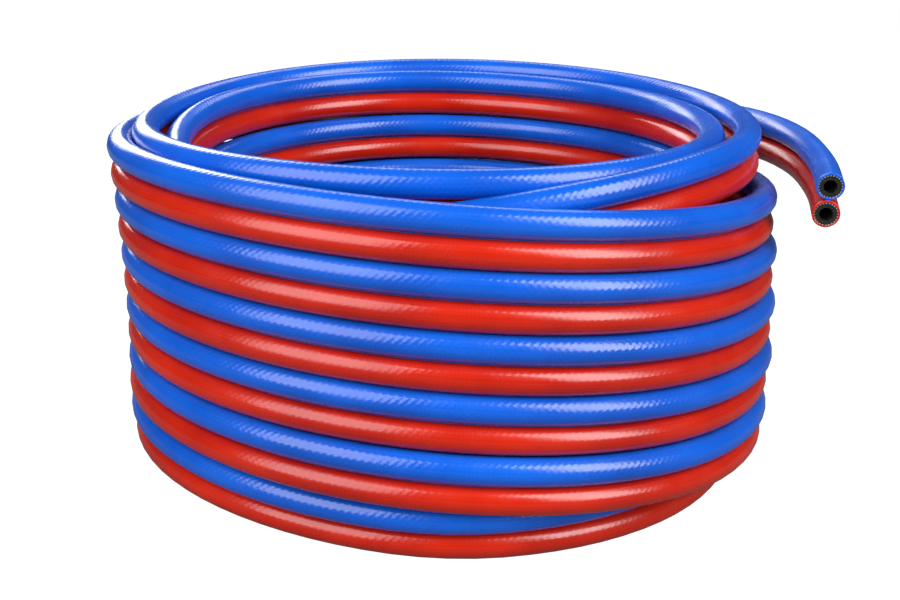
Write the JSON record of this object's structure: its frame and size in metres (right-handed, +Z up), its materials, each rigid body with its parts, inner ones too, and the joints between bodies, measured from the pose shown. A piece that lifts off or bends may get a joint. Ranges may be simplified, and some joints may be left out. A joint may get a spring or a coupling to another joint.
{
  "type": "coiled twin welding hose",
  "caption": "Free-standing coil of twin gas welding hose, a blue oxygen hose bonded above a red acetylene hose, with bare cut ends.",
  "frame": {"origin": "centre of the coil's footprint, on the floor it stands on", "axes": "+Z up along the coil's axis, +X towards the side where the free ends stand out, -Y towards the front that the free ends face"},
  "size_m": [0.3568, 0.3386, 0.182],
  "materials": {
    "blue_cover": "glossy blue flexible cover, faint diagonal weave of the braid under it",
    "red_cover": "glossy red flexible cover, faint diagonal weave of the braid under it",
    "yarn_braid": "off-white reinforcement yarn",
    "black_liner": "smooth black rubber"
  },
  "bodies": {
    "root": {"oxygen_cover": "blue_cover", "oxygen_braid": "yarn_braid", "oxygen_liner": "black_liner", "acetylene_cover": "red_cover", "acetylene_braid": "yarn_braid", "acetylene_liner": "black_liner", "bonding_web": "blue_cover"}
  },
  "joints": []
}
